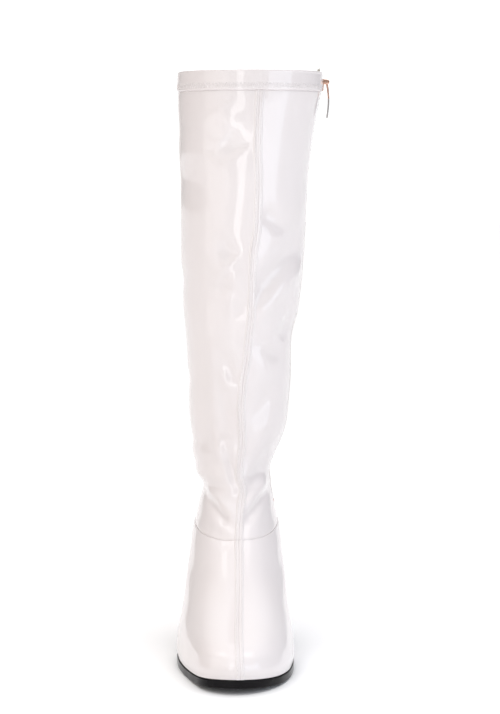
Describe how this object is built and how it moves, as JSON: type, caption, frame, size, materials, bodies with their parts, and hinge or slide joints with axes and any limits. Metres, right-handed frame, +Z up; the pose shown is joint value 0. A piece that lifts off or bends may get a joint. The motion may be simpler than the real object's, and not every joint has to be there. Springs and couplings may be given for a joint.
{
  "type": "go go boot",
  "caption": "Knee-high go go boot for the right foot, stretch patent shaft on a block heel, with a black outsole and an inside zip.",
  "frame": {"origin": "centre of the boot's box on the floor it stands on", "axes": "+Z up the shaft, -Y towards the toe, +X towards the inner side of the leg, where the zip is"},
  "size_m": [0.12, 0.2426, 0.4526],
  "materials": {
    "patent": "off-white high-gloss patent",
    "outsole": "glossy black edge, matt tread",
    "top_lift": "matt black",
    "insole": "cream sock",
    "tape": "cream woven tape",
    "chain": "off-white coil",
    "zip_metal": "polished rose gold"
  },
  "bodies": {
    "boot": {"outsole": "outsole", "heel": "patent", "heel_top_lift": "top_lift", "insole": "insole", "upper": "patent", "zip_tape_front": "tape", "zip_tape_back": "tape", "zip_chain": "chain", "zip_slider": "zip_metal", "zip_top_stop_front": "zip_metal", "zip_top_stop_back": "zip_metal", "zip_bottom_stop": "zip_metal"},
    "pull_tab": {"zip_pull": "zip_metal"}
  },
  "joints": [
    {"name": "pull_hinge", "type": "hinge", "parent": "boot", "child": "pull_tab", "pos_m": [0.05786, 0.0604, 0.44244], "axis": [0.0506, -0.9987, 0], "range_deg": [-4, 165]}
  ]
}
